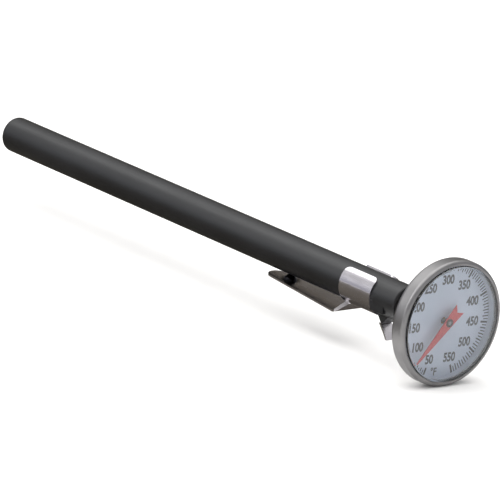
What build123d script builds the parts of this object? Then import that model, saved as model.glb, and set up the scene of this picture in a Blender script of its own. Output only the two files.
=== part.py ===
from build123d import *
import os
from math import sqrt

# A dial thermometer in its pocket sheath. All lengths are in millimetres.
# The stem lies along Y: the dial faces -Y with its 12 o'clock at +Z, and the stem points to +Y.
# The pocket clip is on the -Z side. The origin is on the stem axis, at the end face of the nut's
# spigot, where the bare stem begins.

# ---- Stem ----
stem_diameter = 3.8
stem_wall = 0.4
stem_reach = 127.0            # from the hexagon's rear face to the tip
neck_wall = 0.2               # where the stem tube is turned down to pass through the nut
tip_plug_length = 3.0

# ---- Calibration nut, on which the head turns ----
hex_flats = 5.56
hex_length = 5.1
hex_chamfer = 0.3
spigot_length = 2.5
spigot_chamfer = 0.25
journal_diameter = 5.0
journal_end_land = 0.45       # journal left in front of the retaining ring
ring_groove_depth = 0.35

# ---- Head ----
head_diameter = 27.0
lip_width = 1.0               # from the bezel's outer edge to the crystal
bezel_sheet = 0.3
bezel_roll = 0.75             # outer radius of the bezel's front roll
bezel_crimp_roll = 1.1
case_sheet = 0.3
shoulder_width = 1.55
cup_depth = 2.1               # from the back of the dial to the case floor
cup_corner = 1.2
rim_rise = 0.35               # how far the case's rim stands in front of the dial
crimp_grip = 0.6              # how far the crimp clears the cup wall
boss_diameter = 8.0
boss_length = 2.5
boss_spigot_diameter = 6.8
boss_chamfer = 0.4
dial_thickness = 0.3
dial_hole = 1.5
spacer_height = 1.55
spacer_width = 0.6
gasket_thickness = 0.4
gasket_width = 0.85
crystal_flange = 0.7          # thickness of the crystal's edge under the lip
crystal_window = 0.75
crystal_rise = 0.5            # how far the window stands out of the lip at its edge
crystal_dome = 0.15           # extra rise at the middle
crystal_edge = 0.4
lip_overlap = 0.45            # how far the lip covers the crystal's flange
retaining_ring_sheet = 0.4
retaining_ring_width = 1.15
retaining_ring_gap = 3.0
thrust_washer_sheet = 0.3
thrust_washer_width = 1.0
spring_washer_sheet = 0.15
spring_washer_width = 0.7
spring_washer_space = 0.4

# ---- Pointer and its shaft ----
pointer_reach = 11.1
pointer_tip_width = 0.3
pointer_hub_width = 2.2
pointer_tail_width = 2.9
pointer_tail_reach = 3.75
pointer_tail_notch = 1.0
pointer_sheet = 0.2
pointer_room = 0.9            # between the pointer and the crystal
pointer_reading = -137.4      # degrees from 12 o'clock, clockwise seen from the front
hub_barrel_diameter = 1.5
hub_flange_diameter = 1.8
hub_flange_sheet = 0.12
hub_barrel_length = 1.1
shaft_diameter = 0.8
shaft_end_stand = 0.03
bush_length = 3.0
bush_flange = 0.2

# ---- Bimetal helix ----
helix_length = 36.0
helix_pitch = 1.4
helix_strip_width = 1.0
helix_strip_thickness = 0.25
helix_stem_gap = 0.2          # between the helix and the stem's bore
anchor_length = 3.0
collet_length = 2.0

# ---- Sheath ----
sheath_diameter = 8.0
sheath_bore = 5.6
sheath_end_wall = 1.4
sheath_end_round = 1.1
sheath_end_diameter = 7.75    # the moulding's draft thins the tube from the clip to this, at its closed end
tip_room = 4.0                # between the stem's tip and the sheath's closed end
mouth_gap = 0.3               # between the hexagon and the sheath's mouth
mouth_bore_chamfer = 0.35
mouth_rim_chamfer = 0.15

# ---- Pocket clip and the boss that stops it ----
clip_sheet = 0.4
band_width = 9.8
band_setback = 7.15           # from the mouth to the band's front edge
band_opening = 62.0           # degrees, on the side away from the clip
band_corner = 1.3
arm_width = 8.0               # at the top of the ramp
arm_root_width = 2.4          # where the arm leaves the band
arm_length = 25.0
arm_ramp = 0.9                # from the band's back edge to where the arm runs straight
arm_lift_root = 6.55          # from the stem axis to the arm's outer face, at the ramp
arm_lift_tip = 5.5
arm_bend = 0.9                # inner radius of the bend at the top of the ramp
arm_overlap = 0.3             # how far the arm's blank runs past each of its ends
arm_tip_diameter = 5.0
dimple_setback = 5.9          # from the arm's tip to the dimple's centre
dimple_gap = 0.12
tongue_width = 3.0
tongue_neck_width = 1.6
tongue_lift = 8.6             # from the stem axis to the tongue's outer end
tongue_lean = 0.84            # how far the tongue comes forward for each millimetre that it rises
tongue_flare_rise = 1.1       # the bent end of the tongue
tongue_flare_reach = 0.8
tongue_thickness = 0.5
boss_block_width = 2.9
boss_block_length = 3.05
boss_block_lift = 5.47        # from the stem axis to the block's flat top
boss_block_land = 0.55        # length of the flat top
boss_pad_width = 7.8          # flats on the tube's sides beside the block
boss_pad_length = 4.0
boss_pad_drop = 2.6           # from the stem axis down to the flats' lower edges
boss_block_sink = 0.1         # how far the foot of its ramp starts under the sheath's surface
boss_slot_side_gap = 0.08     # between the tongue's neck and the slot's sides
boss_slot_gap = 0.04          # between the tongue's faces and the slot's ends
boss_end_gap = 0.25           # between the block's top and the tongue's wide end

# ---- Clearances ----
fit_gap = 0.01                # radial, between fixed pieces that sit in one another
bearing_gap = 0.05            # radial, between a turning piece and its bearing
slip_gap = 0.06               # radial, between the spigot and the sheath
face_gap = 0.03               # along the axis, between stacked turning pieces
band_gap = 0.02

# ---- Radii that follow ----
stem_radius = stem_diameter / 2
stem_bore_radius = stem_radius - stem_wall
neck_radius = stem_bore_radius + neck_wall
journal_radius = journal_diameter / 2
groove_radius = journal_radius - ring_groove_depth
spigot_radius = sheath_bore / 2 - slip_gap
head_radius = head_diameter / 2
lip_radius = head_radius - lip_width
bezel_bore_radius = head_radius - bezel_sheet
rim_outer_radius = bezel_bore_radius - bearing_gap
rim_inner_radius = rim_outer_radius - case_sheet
cup_outer_radius = rim_outer_radius - shoulder_width
boss_bore_radius = journal_radius + bearing_gap
stack_radius = rim_inner_radius - slip_gap
shaft_radius = shaft_diameter / 2
helix_outer_radius = stem_bore_radius - helix_stem_gap
helix_inner_radius = helix_outer_radius - helix_strip_thickness
sheath_radius = sheath_diameter / 2
band_inner_radius = sheath_radius + band_gap
band_outer_radius = band_inner_radius + clip_sheet

# ---- Stations along the stem axis that follow, from the tip side to the crystal ----
hex_back = -spigot_length
stem_tip = hex_back + stem_reach
hex_front = hex_back - hex_length
boss_back = hex_front - spring_washer_space
case_back = boss_back - boss_length
floor_inner = case_back - case_sheet
dial_back = floor_inner - cup_depth
dial_face = dial_back - dial_thickness
spacer_front = dial_face - spacer_height
gasket_front = spacer_front - gasket_thickness
flange_front = gasket_front - crystal_flange
lip_front = flange_front - bezel_sheet
window_top = lip_front - crystal_rise
window_inner = window_top + crystal_window
crimp_front = dial_back + case_sheet
crimp_back = crimp_front + bezel_sheet
thrust_washer_front = floor_inner - face_gap - thrust_washer_sheet
ring_front = thrust_washer_front - face_gap - retaining_ring_sheet
journal_front = ring_front - face_gap - journal_end_land
pointer_front = window_inner + pointer_room
pointer_back = pointer_front + pointer_sheet
shaft_front = pointer_front - hub_flange_sheet - shaft_end_stand
plug_front = stem_tip - tip_plug_length
helix_back = plug_front - fit_gap
helix_front = helix_back - helix_length
mouth = hex_back + mouth_gap
sheath_end = stem_tip + tip_room + sheath_end_wall
band_front = mouth + band_setback
band_back = band_front + band_width
arm_root = band_back + arm_ramp
arm_tip = arm_root + arm_length


def turned(*corners):
    """A piece turned about the stem axis, from the (radius, y) corners of its half section."""
    return revolve(make_face(Polyline(*corners, close=True)), Axis.Y)


def ring(inner_radius, outer_radius, y_low, y_high):
    """A plain ring about the stem axis."""
    low = [(inner_radius, y_low), (outer_radius, y_low)]
    high = [(outer_radius, y_high), (inner_radius, y_high)]
    return turned(*low, *high)


def rod(radius, y_low, y_high):
    """A plain rod on the stem axis."""
    return ring(0, radius, y_low, y_high)


def rims(piece, radius, y):
    """The circular edges of a turned piece that have this radius and lie at this y."""
    near = 1e-4
    circles = piece.edges().filter_by(GeomType.CIRCLE)
    return circles.filter_by(lambda e: abs(e.radius - radius) < near and abs(e.arc_center.Y - y) < near)


def side_cut(width, *corners):
    """A plate of the given width across X, from the (y, distance below the axis) corners of its side."""
    side = make_face(Polyline(*[(y, -below) for y, below in corners], close=True))
    return extrude(Plane.YZ * side, amount=width / 2, both=True)


def bends(piece, y, below):
    """The bend lines of a side-cut plate, across X, at this y and distance below the axis."""
    near = 1e-4
    across = piece.edges().filter_by(Axis.X)
    return across.filter_by(lambda e: abs(e.center().Y - y) < near and abs(e.center().Z + below) < near)


# ---- Stem ----


def stem_tube():
    """Stainless tube, open at both ends, with its head end turned down to a neck."""
    return turned(
        (stem_bore_radius, journal_front),
        (neck_radius, journal_front),
        (neck_radius, 0),
        (stem_radius, 0),
        (stem_radius, plug_front),
        (stem_bore_radius, plug_front),
    )


def stem_tip_plug():
    """Welded plug with a rounded nose that closes the stem."""
    plug = rod(stem_radius, plug_front, stem_tip)
    return fillet(rims(plug, stem_radius, stem_tip), stem_radius * 0.75)


def calibration_nut():
    """Hexagon with a journal in front, on which the head turns, and a spigot behind for the sheath."""
    across = Plane(origin=(0, hex_front, 0), x_dir=(1, 0, 0), z_dir=(0, 1, 0))
    blank = extrude(across * RegularPolygon(hex_flats / 2, 6, major_radius=False), amount=hex_length)
    corner_radius = hex_flats / sqrt(3)
    trim = rod(corner_radius, hex_front, hex_back)
    corners = rims(trim, corner_radius, hex_front) + rims(trim, corner_radius, hex_back)
    blank = blank & chamfer(corners, hex_chamfer)
    journal = rod(journal_radius, journal_front, hex_front)
    journal -= ring(groove_radius, journal_radius, ring_front - face_gap, ring_front + retaining_ring_sheet)
    spigot = rod(spigot_radius, hex_back, 0)
    spigot = chamfer(rims(spigot, spigot_radius, 0), spigot_chamfer)
    return blank + journal + spigot - rod(neck_radius + fit_gap, journal_front, 0)


def retaining_ring():
    """Open spring ring in the journal's groove, which holds the head on."""
    inner_radius = groove_radius + fit_gap
    outer_radius = inner_radius + retaining_ring_width
    hoop = ring(inner_radius, outer_radius, ring_front, ring_front + retaining_ring_sheet - face_gap)
    gap = Box(retaining_ring_gap, 4 * retaining_ring_sheet, outer_radius)
    gap = Pos(0, ring_front, outer_radius / 2) * gap
    return hoop - gap


def spring_washer():
    """Conical washer between the hexagon and the head, whose grip holds the head's setting."""
    inner_radius = journal_radius + fit_gap
    outer_radius = inner_radius + spring_washer_width
    rise = spring_washer_space - spring_washer_sheet - 2 * face_gap
    back = hex_front - face_gap
    return turned(
        (inner_radius, back),
        (inner_radius, back - spring_washer_sheet),
        (outer_radius, back - spring_washer_sheet - rise),
        (outer_radius, back - rise),
    )


def upper_shaft_bush():
    """Flanged bush in the stem's head end that guides the pointer shaft."""
    bore = shaft_radius + bearing_gap
    barrel = ring(bore, stem_bore_radius - fit_gap, journal_front, journal_front + bush_length)
    flange = ring(bore, neck_radius, journal_front - bush_flange, journal_front)
    return barrel + flange


def lower_shaft_bush():
    """Plain bush in the stem above the helix that guides the pointer shaft."""
    back = helix_front - collet_length
    return ring(shaft_radius + bearing_gap, stem_bore_radius - fit_gap, back - bush_length, back)


def bimetal_helix():
    """Strip of bimetal wound as a helix, which winds and unwinds as its temperature changes."""
    middle_radius = (helix_outer_radius + helix_inner_radius) / 2
    path = Helix(helix_pitch, helix_length - helix_strip_width, middle_radius)
    start = Plane(origin=path @ 0, x_dir=(1, 0, 0), z_dir=path % 0)
    strip = sweep(start * Rectangle(helix_strip_thickness, helix_strip_width), path, is_frenet=True)
    return Pos(0, helix_front + helix_strip_width / 2, 0) * Rot(-90, 0, 0) * strip


def helix_anchor():
    """Pin on the tip plug to which the helix's far end is welded."""
    return rod(helix_inner_radius - fit_gap, helix_back - anchor_length, plug_front)


# ---- Head ----


def case_shell():
    """Drawn cup: a floor, a wall, a shoulder that carries the dial, and a rim inside the bezel."""
    rim_front = dial_face - rim_rise
    outside = turned(
        (0, rim_front),
        (rim_outer_radius, rim_front),
        (rim_outer_radius, crimp_front),
        (cup_outer_radius, crimp_front),
        (cup_outer_radius, case_back),
        (0, case_back),
    )
    outside = fillet(rims(outside, rim_outer_radius, crimp_front), bezel_crimp_roll - bezel_sheet)
    outside = fillet(rims(outside, cup_outer_radius, case_back), cup_corner)
    inside = rod(rim_inner_radius, lip_front, dial_back)
    well = rod(cup_outer_radius - case_sheet, dial_back, floor_inner)
    well = fillet(rims(well, cup_outer_radius - case_sheet, floor_inner), cup_corner - case_sheet)
    hole = rod(boss_spigot_diameter / 2 + fit_gap, floor_inner, case_back)
    return outside - inside - well - hole


def case_boss():
    """Turned boss brazed in the case floor: the head's bearing on the nut's journal."""
    boss = rod(boss_diameter / 2, case_back, boss_back)
    boss = chamfer(rims(boss, boss_diameter / 2, boss_back), boss_chamfer)
    boss += rod(boss_spigot_diameter / 2, floor_inner, case_back)
    return boss - rod(boss_bore_radius, floor_inner, boss_back)


def thrust_washer():
    """Slippery plastic washer between the boss and the retaining ring."""
    return ring(
        boss_bore_radius,
        boss_bore_radius + thrust_washer_width,
        thrust_washer_front,
        thrust_washer_front + thrust_washer_sheet,
    )


def dial_plate():
    """Printed metal disc on the case's shoulder."""
    return ring(dial_hole / 2, stack_radius, dial_face, dial_back)


def spacer_ring():
    """Pale ring that keeps the crystal clear of the pointer."""
    return ring(stack_radius - spacer_width, stack_radius, spacer_front, dial_face)


def crystal_gasket():
    """Flat rubber ring under the crystal's flange."""
    outer_radius = lip_radius + lip_overlap
    return ring(outer_radius - gasket_width, outer_radius, gasket_front, spacer_front)


def crystal():
    """Clear window: a slightly domed disc in the bezel's opening, with a flange under the lip."""
    flange_radius = lip_radius + lip_overlap
    flange = rod(flange_radius, flange_front, gasket_front)
    flange = chamfer(rims(flange, flange_radius, flange_front), crystal_flange / 3)
    window_radius = lip_radius - 2 * bearing_gap
    disc = rod(window_radius, window_top, flange_front)
    cap_radius = (window_radius**2 + crystal_dome**2) / (2 * crystal_dome)
    cap = Pos(0, window_top - crystal_dome + cap_radius, 0) * Sphere(cap_radius)
    disc += cap & rod(window_radius, window_top - 2 * crystal_dome, window_top)
    disc = fillet(rims(disc, window_radius, window_top), crystal_edge)
    recess = rod(lip_radius + lip_overlap - gasket_width, window_inner, gasket_front)
    return disc + flange - recess


def bezel_ring():
    """Rolled steel ring: its lip holds the crystal, and its back edge is crimped under the shoulder."""
    outside = rod(head_radius, lip_front, crimp_back)
    outside = fillet(rims(outside, head_radius, lip_front), bezel_roll)
    outside = fillet(rims(outside, head_radius, crimp_back), bezel_crimp_roll)
    inside = rod(bezel_bore_radius, flange_front, crimp_front)
    inside = fillet(rims(inside, bezel_bore_radius, flange_front), bezel_roll - bezel_sheet)
    inside = fillet(rims(inside, bezel_bore_radius, crimp_front), bezel_crimp_roll - bezel_sheet)
    opening = rod(lip_radius, lip_front, flange_front)
    back_opening = rod(cup_outer_radius + crimp_grip, crimp_front, crimp_back)
    return outside - inside - opening - back_opening


# ---- Pointer ----


def pointer():
    """Thin red hand: a long taper to the tip and a wide swallow tail."""
    tail = -pointer_tail_reach
    outline = Polyline(
        (-pointer_tip_width / 2, pointer_reach),
        (pointer_tip_width / 2, pointer_reach),
        (pointer_hub_width / 2, 0),
        (pointer_tail_width / 2, tail),
        (0, tail + pointer_tail_notch),
        (-pointer_tail_width / 2, tail),
        (-pointer_hub_width / 2, 0),
        close=True,
    )
    flat = make_face(outline) - Circle(hub_barrel_diameter / 2 + fit_gap)
    facing = Plane(origin=(0, pointer_back, 0), x_dir=(1, 0, 0), z_dir=(0, -1, 0))
    return Rot(0, pointer_reading, 0) * extrude(facing * flat, amount=pointer_sheet)


def pointer_hub():
    """Brass bush riveted through the pointer and pressed on the shaft."""
    flange = ring(shaft_radius, hub_flange_diameter / 2, pointer_front - hub_flange_sheet, pointer_front)
    barrel = ring(shaft_radius, hub_barrel_diameter / 2, pointer_front, pointer_front + hub_barrel_length)
    return flange + barrel


def pointer_shaft():
    """Wire shaft from the helix up to the pointer."""
    return rod(shaft_radius - fit_gap, shaft_front, helix_front + collet_length)


def shaft_collet():
    """Collar on the shaft to which the helix's near end is welded."""
    return ring(shaft_radius, helix_inner_radius - bearing_gap, helix_front, helix_front + collet_length)


# ---- Sheath ----


def sheath_tube():
    """Moulded tube, closed at its far end, with a slotted boss that stops the clip's band."""
    end_radius = sheath_end_diameter / 2
    tube = turned(
        (0, mouth),
        (sheath_radius, mouth),
        (sheath_radius, band_back),
        (end_radius, sheath_end),
        (0, sheath_end),
    )
    tube = fillet(rims(tube, end_radius, sheath_end), sheath_end_round)
    tube = chamfer(rims(tube, sheath_radius, mouth), mouth_rim_chamfer)
    stop = band_front - face_gap
    front = stop - boss_block_length
    ridge = band_front - (boss_block_lift - band_inner_radius) * tongue_lean
    block = side_cut(
        boss_block_width,
        (front, sheath_bore / 2),
        (front, sheath_radius - boss_block_sink),
        (ridge - boss_block_land, boss_block_lift),
        (ridge, boss_block_lift),
        (stop, band_inner_radius + face_gap),
        (stop, sheath_bore / 2),
    )
    block += boss_pad(stop)
    slot = side_cut(tongue_neck_width + 2 * boss_slot_side_gap, *tongue_side(boss_slot_gap))
    bore = rod(sheath_bore / 2, mouth, stem_tip + tip_room)
    bore += turned(
        (0, mouth),
        (sheath_bore / 2 + mouth_bore_chamfer, mouth),
        (sheath_bore / 2, mouth + mouth_bore_chamfer),
        (0, mouth + mouth_bore_chamfer),
    )
    return tube + (block - slot) - bore


def boss_pad(stop):
    """Flats moulded on the tube's sides beside the slotted block."""
    pad = Box(boss_pad_width, boss_pad_length, boss_pad_drop)
    return Pos(0, stop - boss_pad_length / 2, -boss_pad_drop / 2) * pad


def tongue_side(margin):
    """Side outline of the clip's tongue, from the band's front edge out to its bent end."""
    root = band_front + clip_sheet
    foot_lift = band_inner_radius - margin
    knee_lift = tongue_lift - tongue_flare_rise
    knee = band_front - (knee_lift - band_inner_radius) * tongue_lean
    end = knee - tongue_flare_reach
    back = tongue_thickness + margin
    return (
        (root, foot_lift),
        (band_front - margin, foot_lift),
        (knee - margin, knee_lift),
        (end, tongue_lift),
        (end + back, tongue_lift),
        (knee + back, knee_lift),
        (root, band_outer_radius + margin),
    )


def clip_band():
    """C-shaped band, open on the side away from the clip, with rounded corners."""
    band = ring(band_inner_radius, band_outer_radius, band_front, band_back)
    reach = 2 * band_outer_radius
    half_open = band_opening / 2
    middle = (band_front + band_back) / 2
    left = Rot(0, half_open, 0) * Pos(-reach / 2, middle, reach / 2) * Box(reach, 2 * band_width, reach)
    right = Rot(0, -half_open, 0) * Pos(reach / 2, middle, reach / 2) * Box(reach, 2 * band_width, reach)
    band -= left & right
    corners = band.edges().filter_by(GeomType.LINE).filter_by(lambda e: abs(e.length - clip_sheet) < 1e-3)
    return fillet(corners, band_corner)


def arm_plan():
    """Outline of the clip's arm seen from below: it widens on the ramp and tapers to a round end."""
    tip_radius = arm_tip_diameter / 2
    tip_centre = arm_tip - tip_radius
    root = arm_root_width / 2
    half = arm_width / 2
    outline = Polyline(
        (-half, arm_root),
        (-root, band_back - arm_overlap),
        (root, band_back - arm_overlap),
        (half, arm_root),
        (tip_radius, tip_centre),
        (-tip_radius, tip_centre),
        close=True,
    )
    return make_face(outline) + Pos(0, tip_centre) * Circle(tip_radius)


def clip_arm():
    """Sheet arm that ramps up from the band and falls slowly towards its tip."""
    fall = (arm_lift_root - arm_lift_tip) / arm_length
    root = band_back - arm_overlap
    beyond = arm_tip + arm_overlap
    beyond_lift = arm_lift_tip - fall * arm_overlap
    side = side_cut(
        2 * arm_width,
        (root, band_inner_radius),
        (root, band_outer_radius),
        (band_back - clip_sheet, band_outer_radius),
        (arm_root, arm_lift_root),
        (beyond, beyond_lift),
        (beyond, beyond_lift - clip_sheet),
        (arm_root + clip_sheet / 2, arm_lift_root - clip_sheet),
        (band_back, band_inner_radius),
    )
    side = fillet(bends(side, arm_root, arm_lift_root), arm_bend + clip_sheet)
    side = fillet(bends(side, arm_root + clip_sheet / 2, arm_lift_root - clip_sheet), arm_bend)
    arm = side & extrude(arm_plan(), amount=-2 * arm_lift_root)
    dimple_y = arm_tip - dimple_setback
    lift = arm_lift_root - fall * (dimple_y - arm_root) - clip_sheet / 4
    dome_radius = lift - sheath_radius - dimple_gap
    centre = Pos(0, dimple_y, -lift)
    towards_sheath = Pos(0, dimple_y, dome_radius - lift) * Box(2 * arm_width, 2 * arm_width, 2 * dome_radius)
    dome = centre * Sphere(dome_radius) & towards_sheath
    return arm + dome - centre * Sphere(dome_radius - clip_sheet)


def clip_tongue():
    """Tongue at the band's front: a neck in the sheath's slotted boss, and a wider bent end outside it."""
    neck = side_cut(tongue_neck_width, *tongue_side(0))
    wide = side_cut(tongue_width, *tongue_side(0))
    wide -= rod(boss_block_lift + boss_end_gap, mouth, band_back)
    return neck + wide


def pocket_clip():
    """One stamping: the band round the sheath, the arm that grips the pocket, and the tongue."""
    formed = clip_arm() + clip_tongue()
    return clip_band() + (formed - rod(band_inner_radius, mouth, arm_tip))


nodes = {
    "stem_tube": stem_tube,
    "stem_tip_plug": stem_tip_plug,
    "calibration_nut": calibration_nut,
    "retaining_ring": retaining_ring,
    "spring_washer": spring_washer,
    "upper_shaft_bush": upper_shaft_bush,
    "lower_shaft_bush": lower_shaft_bush,
    "bimetal_helix": bimetal_helix,
    "helix_anchor": helix_anchor,
    "case_shell": case_shell,
    "case_boss": case_boss,
    "thrust_washer": thrust_washer,
    "dial_plate": dial_plate,
    "spacer_ring": spacer_ring,
    "crystal_gasket": crystal_gasket,
    "crystal": crystal,
    "bezel_ring": bezel_ring,
    "pointer": pointer,
    "pointer_hub": pointer_hub,
    "pointer_shaft": pointer_shaft,
    "shaft_collet": shaft_collet,
    "sheath_tube": sheath_tube,
    "pocket_clip": pocket_clip,
}

os.makedirs("parts", exist_ok=True)
for name, make in nodes.items():
    export_step(make(), f"parts/{name}.step")
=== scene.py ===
from math import asin, cos, pi, radians, sin

import bpy
from mathutils import Matrix, Vector


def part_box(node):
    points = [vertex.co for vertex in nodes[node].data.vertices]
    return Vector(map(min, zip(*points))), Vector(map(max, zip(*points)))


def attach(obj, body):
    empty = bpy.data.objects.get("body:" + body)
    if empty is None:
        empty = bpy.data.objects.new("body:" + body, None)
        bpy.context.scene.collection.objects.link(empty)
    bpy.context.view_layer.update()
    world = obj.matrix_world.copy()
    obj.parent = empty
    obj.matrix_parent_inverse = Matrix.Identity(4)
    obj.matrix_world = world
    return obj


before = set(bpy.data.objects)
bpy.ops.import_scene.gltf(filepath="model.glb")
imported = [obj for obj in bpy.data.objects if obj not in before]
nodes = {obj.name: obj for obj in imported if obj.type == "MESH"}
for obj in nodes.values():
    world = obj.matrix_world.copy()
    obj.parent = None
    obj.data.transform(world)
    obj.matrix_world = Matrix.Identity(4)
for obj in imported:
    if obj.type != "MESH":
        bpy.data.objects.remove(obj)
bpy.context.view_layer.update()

# A dial thermometer in its pocket sheath, on a pale table in soft light.
# Everything is in metres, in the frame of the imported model: the dial faces -Y with 12 o'clock at +Z.

mm = 0.001

lip_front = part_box("bezel_ring")[0].y
head_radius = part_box("bezel_ring")[1].x
dial_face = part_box("dial_plate")[0].y
sheath_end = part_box("sheath_tube")[1].y
clip_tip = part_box("pocket_clip")[1].y


# ---- Tools for shapes ----


def deselect():
    """Nothing selected, in object mode."""
    if bpy.context.object and bpy.context.object.mode != "OBJECT":
        bpy.ops.object.mode_set(mode="OBJECT")
    bpy.ops.object.select_all(action="DESELECT")


def settle(piece, name, body, material):
    """Puts the piece's place in its mesh, names it, and lets it ride on its body."""
    deselect()
    piece.select_set(True)
    bpy.context.view_layer.objects.active = piece
    bpy.ops.object.transform_apply(location=True, rotation=True, scale=True)
    piece.name = name
    piece.data.name = name
    piece.data.materials.clear()
    piece.data.materials.append(material)
    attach(piece, body)
    return piece


def joined(pieces):
    """The pieces as one object."""
    deselect()
    for piece in pieces:
        piece.select_set(True)
    bpy.context.view_layer.objects.active = pieces[0]
    bpy.ops.object.join()
    return bpy.context.object


# ---- Tools for materials ----


def linear(code):
    """An sRGB hex colour as linear RGBA."""
    parts = [int(code[i:i + 2], 16) / 255 for i in (0, 2, 4)]
    return tuple(c / 12.92 if c <= 0.04045 else ((c + 0.055) / 1.055) ** 2.4 for c in parts) + (1.0,)


def add(tree, kind, inputs=None, **settings):
    """Adds a node. inputs maps a socket's name or number to a value, or to the socket that feeds it."""
    node = tree.nodes.new("ShaderNode" + kind)
    for key, value in settings.items():
        setattr(node, key, value)
    for key, value in (inputs or {}).items():
        if isinstance(value, bpy.types.NodeSocket):
            tree.links.new(value, node.inputs[key])
        else:
            node.inputs[key].default_value = value
    return node


def finish_of(name, metallic=0.0, **sockets):
    """A new material, with its tree, its shader and the point in the piece's own frame, in millimetres."""
    material = bpy.data.materials.new(name)
    material.use_nodes = True
    tree = material.node_tree
    shader = tree.nodes["Principled BSDF"]
    shader.inputs["Metallic"].default_value = metallic
    for key, value in sockets.items():
        shader.inputs[key.replace("_", " ")].default_value = value
    place = add(tree, "TexCoord").outputs["Object"]
    point = add(tree, "VectorMath", {0: place, 3: 1 / mm}, operation="SCALE").outputs[0]
    return material, tree, shader, point


def stretched(tree, point, x, y, z):
    """The point measured in steps of x, y and z millimetres."""
    return add(tree, "VectorMath", {0: point, 1: (1 / x, 1 / y, 1 / z)}, operation="MULTIPLY").outputs[0]


def around_stem(tree, point):
    """The point as its radius, its height along the stem, and nothing round it, so marks run in rings."""
    parts = add(tree, "SeparateXYZ", {0: point}).outputs
    flat = add(tree, "CombineXYZ", {0: parts[0], 1: parts[2]}).outputs[0]
    radius = add(tree, "VectorMath", {0: flat}, operation="LENGTH").outputs["Value"]
    return add(tree, "CombineXYZ", {0: radius, 1: parts[1]}).outputs[0]


def noise(tree, place, detail=4.0, roughness=0.55):
    """Noise from 0 to 1 with one blotch for each step of the place."""
    settings = {"Vector": place, "Scale": 1.0, "Detail": detail, "Roughness": roughness}
    return add(tree, "TexNoise", settings).outputs[0]


def between(tree, factor, low, high, start=0.3, stop=0.7):
    """A number from low to high as the factor goes from start to stop."""
    settings = {0: factor, 1: start, 2: stop, 3: low, 4: high}
    return add(tree, "MapRange", settings).outputs[0]


def blend_colour(tree, factor, first, second, start=0.3, stop=0.7):
    """A colour between two hex colours as the factor goes from start to stop."""
    ramp = add(tree, "ValToRGB", {0: factor})
    ramp.color_ramp.elements[0].position = start
    ramp.color_ramp.elements[0].color = linear(first)
    ramp.color_ramp.elements[1].position = stop
    ramp.color_ramp.elements[1].color = linear(second)
    return ramp.outputs[0]


def bumped(tree, shader, height, depth, strength=1.0, under=None):
    """Raises the shader's surface by up to depth millimetres where the height is 1."""
    inputs = {"Height": height, "Distance": depth * mm, "Strength": strength}
    if under:
        inputs["Normal"] = under
    normal = add(tree, "Bump", inputs).outputs[0]
    tree.links.new(normal, shader.inputs["Normal"])
    return normal


def link(tree, value, shader, socket):
    """Feeds one of the shader's sockets."""
    tree.links.new(value, shader.inputs[socket])


# ---- Materials ----


def moulded_polypropylene():
    """Black polypropylene from a spark-eroded mould: a satin skin with a fine grain and faint rub marks."""
    material, tree, shader, point = finish_of("moulded_black_polypropylene", IOR=1.49)
    grain = noise(tree, stretched(tree, point, 0.35, 0.35, 0.35))
    rubs = noise(tree, stretched(tree, point, 0.5, 9.0, 0.5), detail=6.0)
    cloud = noise(tree, stretched(tree, point, 7.0, 16.0, 7.0), detail=2.0)
    link(tree, blend_colour(tree, cloud, "0e0f11", "151618"), shader, "Base Color")
    link(tree, between(tree, rubs, 0.34, 0.44), shader, "Roughness")
    bumped(tree, shader, grain, 0.006)
    return material


def turned_steel(name, first, second, rough_low, rough_high, mark=0.09):
    """Stainless steel finished on a lathe: fine rings that spread the reflections round the piece."""
    material, tree, shader, point = finish_of(name, metallic=1.0)
    rings = noise(tree, stretched(tree, around_stem(tree, point), mark, mark, 1.0), detail=3.0)
    cloud = noise(tree, stretched(tree, point, 4.0, 4.0, 4.0), detail=3.0)
    link(tree, blend_colour(tree, cloud, first, second), shader, "Base Color")
    link(tree, between(tree, rings, rough_low, rough_high), shader, "Roughness")
    under = bumped(tree, shader, cloud, 0.02)
    bumped(tree, shader, rings, 0.002, under=under)
    return material


def rubbed(tree, point, clean, centre, reach):
    """The colour darkened to near black around a point, out to a reach, with a ragged edge: painted contact
    shade where the clip's dimple sits against the sheath.
    """
    away = add(tree, "VectorMath", {0: point, 1: centre}, operation="DISTANCE").outputs["Value"]
    shade_edge_noise = noise(tree, stretched(tree, point, 0.5, 1.5, 0.5))
    ragged = add(tree, "Math", {0: shade_edge_noise, 1: reach * 0.6, 2: away}, operation="MULTIPLY_ADD").outputs[0]
    amount = between(tree, ragged, 1.0, 0.0, reach * 1.1, reach * 1.4)
    # The near-black colour mixed in here is painted contact shade.
    mix = {"Factor": amount, 6: clean, 7: linear("141416")}
    return add(tree, "Mix", mix, data_type="RGBA").outputs[2]


def rolled_steel(name, first, second, rough_low, rough_high, wave=0.03, contact_shade=None):
    """Bright rolled stainless sheet: faint lines along the strip and a slight wave from the press."""
    material, tree, shader, point = finish_of(name, metallic=1.0)
    lines = noise(tree, stretched(tree, point, 0.12, 6.0, 0.12), detail=3.0)
    waves = noise(tree, stretched(tree, point, 3.0, 5.0, 3.0), detail=1.0)
    colour = blend_colour(tree, waves, first, second)
    # The clip's colour can carry painted contact shade round its dimple.
    if contact_shade:
        colour = rubbed(tree, point, colour, *contact_shade)
    link(tree, colour, shader, "Base Color")
    link(tree, between(tree, lines, rough_low, rough_high), shader, "Roughness")
    under = bumped(tree, shader, waves, wave)
    bumped(tree, shader, lines, 0.002, under=under)
    return material


def dial_enamel():
    """Stoved satin enamel on the dial: an even pale blue-grey coat with a very fine orange peel."""
    material, tree, shader, point = finish_of("stoved_dial_enamel", IOR=1.5)
    peel = noise(tree, stretched(tree, point, 0.25, 0.25, 0.25))
    cloud = noise(tree, stretched(tree, point, 5.0, 5.0, 5.0), detail=2.0)
    link(tree, blend_colour(tree, cloud, "c3cbd6", "ccd3de"), shader, "Base Color")
    link(tree, between(tree, peel, 0.4, 0.5), shader, "Roughness")
    bumped(tree, shader, peel, 0.003)
    return material


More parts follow.
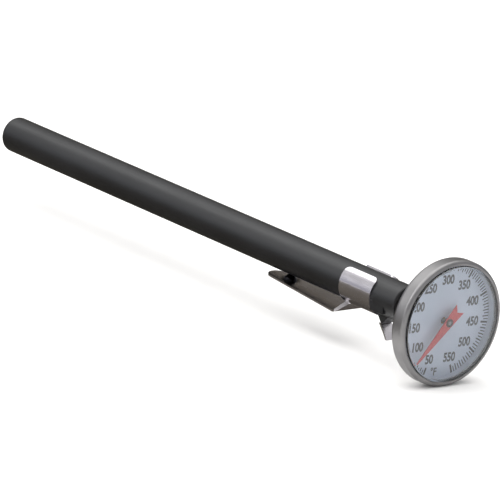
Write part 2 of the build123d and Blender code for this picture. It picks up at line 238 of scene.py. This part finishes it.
def printing_ink():
    """Black pad-printed ink: a thin matt coat, a little greyer where it is thin."""
    material, tree, shader, point = finish_of("pad_printed_black_ink", IOR=1.5)
    thin = noise(tree, stretched(tree, point, 0.2, 0.2, 0.2))
    link(tree, blend_colour(tree, thin, "15171c", "272a31"), shader, "Base Color")
    link(tree, between(tree, thin, 0.45, 0.6), shader, "Roughness")
    return material


def pointer_paint():
    """Red paint on the pointer: satin, a little thinner and warmer in places."""
    material, tree, shader, point = finish_of("red_pointer_paint", IOR=1.5)
    thin = noise(tree, stretched(tree, point, 0.8, 0.8, 0.8))
    peel = noise(tree, stretched(tree, point, 0.15, 0.15, 0.15))
    link(tree, blend_colour(tree, thin, "bf2f30", "cf3d3c"), shader, "Base Color")
    link(tree, between(tree, peel, 0.38, 0.5), shader, "Roughness")
    bumped(tree, shader, peel, 0.003)
    return material


def acrylic_crystal():
    """Clear cast acrylic: polished, with hairline wipe marks that only show in a highlight."""
    material, tree, shader, point = finish_of("polished_acrylic", IOR=1.49)
    shader.inputs["Transmission Weight"].default_value = 1.0
    wipes = noise(tree, stretched(tree, point, 0.3, 3.0, 5.0), detail=6.0)
    tint = noise(tree, stretched(tree, point, 8.0, 8.0, 8.0), detail=1.0)
    link(tree, blend_colour(tree, tint, "f4f7fb", "fafcff"), shader, "Base Color")
    link(tree, between(tree, wipes, 0.0, 0.05), shader, "Roughness")
    return material


def moulded_spacer():
    """Pale grey polystyrene ring: a soft satin with a faint flow pattern."""
    material, tree, shader, point = finish_of("moulded_grey_polystyrene", IOR=1.55)
    flow = noise(tree, stretched(tree, point, 1.5, 0.5, 1.5))
    link(tree, blend_colour(tree, flow, "cdd3dc", "d8dde5"), shader, "Base Color")
    link(tree, between(tree, flow, 0.35, 0.5), shader, "Roughness")
    return material


def silicone_rubber():
    """Natural silicone rubber: milky, dull, with a fine bloom on its skin."""
    material, tree, shader, point = finish_of("natural_silicone_rubber", IOR=1.43)
    bloom = noise(tree, stretched(tree, point, 0.4, 0.4, 0.4))
    link(tree, blend_colour(tree, bloom, "b4b8be", "c2c5ca"), shader, "Base Color")
    link(tree, between(tree, bloom, 0.6, 0.8), shader, "Roughness")
    bumped(tree, shader, bloom, 0.006)
    return material


def punched_nylon():
    """Natural nylon sheet: milky white, with a faint haze in its colour and finish."""
    material, tree, shader, point = finish_of("punched_nylon_sheet", IOR=1.53)
    haze = noise(tree, stretched(tree, point, 0.6, 0.6, 0.6))
    link(tree, blend_colour(tree, haze, "d8d4c8", "e6e3da"), shader, "Base Color")
    link(tree, between(tree, haze, 0.4, 0.55), shader, "Roughness")
    return material


def turned_brass():
    """Free-cutting brass: warm yellow, with the lathe's rings and a little tarnish."""
    material, tree, shader, point = finish_of("turned_brass", metallic=1.0)
    rings = noise(tree, stretched(tree, around_stem(tree, point), 0.06, 0.06, 1.0), detail=3.0)
    tarnish = noise(tree, stretched(tree, point, 0.7, 0.7, 0.7))
    link(tree, blend_colour(tree, tarnish, "8f6c3a", "b8904f"), shader, "Base Color")
    link(tree, between(tree, rings, 0.25, 0.4), shader, "Roughness")
    bumped(tree, shader, rings, 0.003)
    return material


def blackened_brass():
    """Chemically blackened brass: dark brown-black, with brass showing through on the high spots."""
    material, tree, shader, point = finish_of("blackened_brass", metallic=1.0)
    worn = noise(tree, stretched(tree, point, 0.3, 0.3, 0.3))
    link(tree, blend_colour(tree, worn, "2a2320", "5a4636", 0.45, 0.75), shader, "Base Color")
    link(tree, between(tree, worn, 0.4, 0.5), shader, "Roughness")
    return material


def bimetal_strip():
    """Rolled bimetal: bright nickel-iron with a faint straw tone from the heat treatment."""
    material, tree, shader, point = finish_of("heat_treated_bimetal", metallic=1.0)
    tone = noise(tree, stretched(tree, point, 1.2, 4.0, 1.2))
    link(tree, blend_colour(tree, tone, "b7ab90", "c9c4b6"), shader, "Base Color")
    link(tree, between(tree, tone, 0.28, 0.4), shader, "Roughness")
    return material


def pale_table():
    """Pale laminate under the object, with a slight mottle."""
    material, tree, shader, point = finish_of("pale_laminate", IOR=1.5)
    mottle = noise(tree, stretched(tree, point, 30.0, 30.0, 30.0))
    link(tree, blend_colour(tree, mottle, "f1f0ee", "f5f4f2"), shader, "Base Color")
    link(tree, between(tree, mottle, 0.75, 0.85), shader, "Roughness")
    return material


def brown_card():
    """Dull brown card, with the slight cloudiness of its pulp."""
    material, tree, shader, point = finish_of("dull_brown_card")
    pulp = noise(tree, stretched(tree, point, 12.0, 12.0, 12.0))
    link(tree, blend_colour(tree, pulp, "4f4a42", "5b554b"), shader, "Base Color")
    shader.inputs["Roughness"].default_value = 0.9
    return material


dimple_setback = 5.9               # millimetres from the arm's tip, and so are the next two
dimple_drop = 5.2                  # below the stem axis
contact_shade_reach = 2.2                    # of the painted contact shade round the dimple
dimple = (0, clip_tip / mm - dimple_setback, -dimple_drop)

black_plastic = moulded_polypropylene()
bezel_steel = turned_steel("satin_rolled_stainless", "767576", "838282", 0.34, 0.44)
case_steel = turned_steel("drawn_stainless", "a9a8a6", "b6b5b3", 0.3, 0.4)
nut_steel = turned_steel("turned_stainless", "b3b1ae", "c0bebb", 0.24, 0.34, mark=0.07)
stem_steel = turned_steel("polished_stem_stainless", "b5b3af", "c2c0bc", 0.18, 0.26, mark=0.15)
# The clip steel gets painted contact shade round the dimple, where it presses on the sheath.
clip_steel = rolled_steel("bright_rolled_stainless", "b9b6ba", "c5c2c6", 0.14, 0.24, contact_shade=(dimple, contact_shade_reach))
spring_steel = rolled_steel("oiled_spring_steel", "6d6d70", "7c7b7c", 0.25, 0.35, wave=0.01)
brass = turned_brass()

finishes = {
    "stem_tube": stem_steel,
    "stem_tip_plug": stem_steel,
    "calibration_nut": nut_steel,
    "retaining_ring": spring_steel,
    "spring_washer": spring_steel,
    "upper_shaft_bush": brass,
    "lower_shaft_bush": brass,
    "bimetal_helix": bimetal_strip(),
    "helix_anchor": nut_steel,
    "case_shell": case_steel,
    "case_boss": nut_steel,
    "thrust_washer": punched_nylon(),
    "dial_plate": dial_enamel(),
    "spacer_ring": moulded_spacer(),
    "crystal_gasket": silicone_rubber(),
    "crystal": acrylic_crystal(),
    "bezel_ring": bezel_steel,
    "pointer": pointer_paint(),
    "pointer_hub": blackened_brass(),
    "pointer_shaft": spring_steel,
    "shaft_collet": brass,
    "sheath_tube": black_plastic,
    "pocket_clip": clip_steel,
}
for name, material in finishes.items():
    nodes[name].data.materials.clear()
    nodes[name].data.materials.append(material)


# ---- Print on the dial ----

scale_low = 50                     # degrees Fahrenheit at the scale's two ends
scale_high = 550
label_step = 50
degree_turn = radians(32.3) / label_step    # turn of the pointer for each degree Fahrenheit
tick_rim = 12.15 * mm              # where all the marks end
label_size = 2.65 * mm
label_radius = 8.65 * mm           # of the labels at 12 and 6 o'clock
label_pinch = 0.7 * mm             # how much nearer the middle the wide labels at the sides stand
unit_size = 2.3 * mm
unit_radius = 11.0 * mm
unit_angle = radians(-174)
ink_height = 0.02 * mm
ink = printing_ink()


def dial_angle(reading):
    """Angle clockwise from 12 o'clock, seen from the front."""
    return (reading - (scale_low + scale_high) / 2) * degree_turn


def tick(step, inner, outer, width):
    """Marks from one radius to another, one for each step of the scale, all round the dial."""
    deselect()
    start = dial_angle(scale_low)
    middle = (inner + outer) / 2
    bpy.ops.mesh.primitive_cube_add(size=1, location=(0, dial_face - ink_height / 2, middle))
    mark = bpy.context.object
    mark.scale = (width, ink_height, outer - inner)
    bpy.ops.object.transform_apply(location=True, rotation=True, scale=True)
    bpy.ops.object.mode_set(mode="EDIT")
    bpy.ops.mesh.select_all(action="SELECT")
    bpy.ops.mesh.bevel(offset=ink_height * 0.4, segments=2, affect="EDGES")
    bpy.ops.object.mode_set(mode="OBJECT")
    mark.data.transform(Matrix.Rotation(start, 4, "Y"))
    bpy.ops.object.mode_set(mode="EDIT")
    bpy.ops.mesh.select_all(action="SELECT")
    count = round((scale_high - scale_low) / step)
    turn = dial_angle(scale_high) - start
    bpy.ops.mesh.spin(steps=count, angle=-turn, center=(0, 0, 0), axis=(0, 1, 0), dupli=True)
    bpy.ops.object.mode_set(mode="OBJECT")
    return mark


def lettering(body, size, angle, radius, widen=1.0, heavy=0.0):
    """Upright text as a thin solid on the dial, centred at the angle and radius."""
    deselect()
    bpy.ops.object.text_add()
    text = bpy.context.object
    text.data.body = body
    text.data.align_x = "CENTER"
    text.data.align_y = "CENTER"
    text.data.size = size
    text.data.extrude = ink_height / 2
    text.data.offset = heavy
    text.data.resolution_u = 6
    bpy.ops.object.convert(target="MESH")
    text = bpy.context.object
    upright = Matrix.Rotation(pi / 2, 4, "X")
    place = Matrix.Translation((radius * sin(angle), dial_face - ink_height / 2, radius * cos(angle)))
    text.data.transform(place @ upright @ Matrix.Diagonal((widen, 1, 1, 1)))
    return text


def dial_print():
    """The graduations and the labels, each set as one piece."""
    marks = [
        tick(5, 10.9 * mm, tick_rim, 0.22 * mm),
        tick(10, 10.6 * mm, tick_rim, 0.25 * mm),
        tick(50, 10.3 * mm, tick_rim, 0.42 * mm),
    ]
    settle(joined(marks), "dial_graduations", "head", ink)
    labels = []
    for reading in range(scale_low, scale_high + 1, label_step):
        angle = dial_angle(reading)
        radius = label_radius - label_pinch * sin(angle) ** 2
        labels.append(lettering(str(reading), label_size, angle, radius, 0.8, 0.1 * mm))
    labels.append(lettering("°F", unit_size, unit_angle, unit_radius, 0.85, 0.06 * mm))
    settle(joined(labels), "dial_numerals", "head", ink)


dial_print()


# ---- Table, light and camera ----

table_size = 1.6
lens = 576.0                       # millimetres, on a sensor 36 mm wide
camera_distance = 1.640
camera_azimuth = radians(41.56)    # from +Y towards +X, the way the camera looks
camera_elevation = radians(15.74)
camera_roll = asin(0.1115 / cos(camera_elevation))
dial_right_of_middle = 41.39 * mm
dial_below_middle = 15.22 * mm


def table():
    """The table's top, which the head stands on."""
    deselect()
    bpy.ops.mesh.primitive_plane_add(size=table_size, location=(0, sheath_end / 2, -head_radius))
    top = bpy.context.object
    bpy.ops.object.transform_apply(location=True, rotation=True, scale=True)
    top.name = "table_top"
    top.data.materials.append(pale_table())


card_width = 0.6
card_length = 0.5
card_front = 12 * mm               # behind the head, so that the bezel's front sees the pale table
card_height = -head_radius + 0.5 * mm
back_card_size = (0.7, 0.26)
back_card_distance = 0.6
back_card_rise = radians(16.0)     # of its middle, over the horizon


def reflection_card(name, size, place, turn):
    """A dull card that only reflections see."""
    deselect()
    bpy.ops.mesh.primitive_plane_add(size=1, location=place, rotation=turn)
    card = bpy.context.object
    card.scale = (size[0], size[1], 1)
    bpy.ops.object.transform_apply(location=True, rotation=True, scale=True)
    card.name = name
    card.data.materials.append(brown_card())
    card.visible_camera = False
    card.visible_diffuse = False
    card.visible_shadow = False
    card.visible_transmission = False


def reflection_cards():
    """One over the table behind the head, for the dark undersides, and one standing far behind."""
    low = (0, card_front + card_length / 2, card_height)
    reflection_card("table_card", (card_width, card_length), low, (0, 0, 0))
    far = back_card_distance * cos(back_card_rise)
    back = (far * sin(camera_azimuth), far * cos(camera_azimuth), back_card_distance * sin(back_card_rise))
    reflection_card("back_card", back_card_size, back, (pi / 2, 0, -camera_azimuth))


def camera():
    """A long lens that looks at the dial from its left and above."""
    level_reach = cos(camera_elevation)
    drop = sin(camera_elevation)
    ahead = Vector((sin(camera_azimuth) * level_reach, cos(camera_azimuth) * level_reach, -drop))
    level = ahead.cross(Vector((0, 0, 1))).normalized()
    right = Matrix.Rotation(-camera_roll, 3, ahead) @ level
    up = right.cross(ahead)
    dial_centre = Vector((0, lip_front, 0))
    aim = dial_centre - right * dial_right_of_middle + up * dial_below_middle
    data = bpy.data.cameras.new("camera")
    data.lens = lens
    data.sensor_width = 36.0
    data.clip_start = 0.05
    data.clip_end = 20.0
    eye = bpy.data.objects.new("camera", data)
    bpy.context.scene.collection.objects.link(eye)
    turn = Matrix((right, up, -ahead)).transposed().to_4x4()
    eye.matrix_world = Matrix.Translation(aim - ahead * camera_distance) @ turn
    bpy.context.scene.camera = eye


def softbox(name, place, size, watts, colour="ffffff"):
    """A square soft light that faces the object."""
    data = bpy.data.lights.new(name, "AREA")
    data.shape = "SQUARE"
    data.size = size
    data.energy = watts
    data.color = linear(colour)[:3]
    light = bpy.data.objects.new(name, data)
    bpy.context.scene.collection.objects.link(light)
    target = Vector((0, sheath_end / 3, 0))
    light.location = target + Vector(place)
    light.rotation_euler = (target - light.location).to_track_quat("-Z", "Y").to_euler()


def room():
    """Even light from a white room, a little dimmer and bluer near the horizon."""
    world = bpy.data.worlds.new("white_room")
    bpy.context.scene.world = world
    world.use_nodes = True
    tree = world.node_tree
    way = add(tree, "TexCoord").outputs["Generated"]
    height = add(tree, "SeparateXYZ", {0: way}).outputs[2]
    shade = blend_colour(tree, height, "cfd0dc", "ffffff", 0.0, 0.6)
    tree.links.new(shade, tree.nodes["Background"].inputs[0])
    tree.nodes["Background"].inputs[1].default_value = 0.85


table()
reflection_cards()
camera()
softbox("overhead", (-0.1, 0.1, 0.9), 1.5, 13.0)
softbox("left", (-0.8, 0.35, 0.5), 0.6, 3.0)
room()
bpy.context.scene.view_settings.view_transform = "Standard"

bpy.context.view_layer.update()
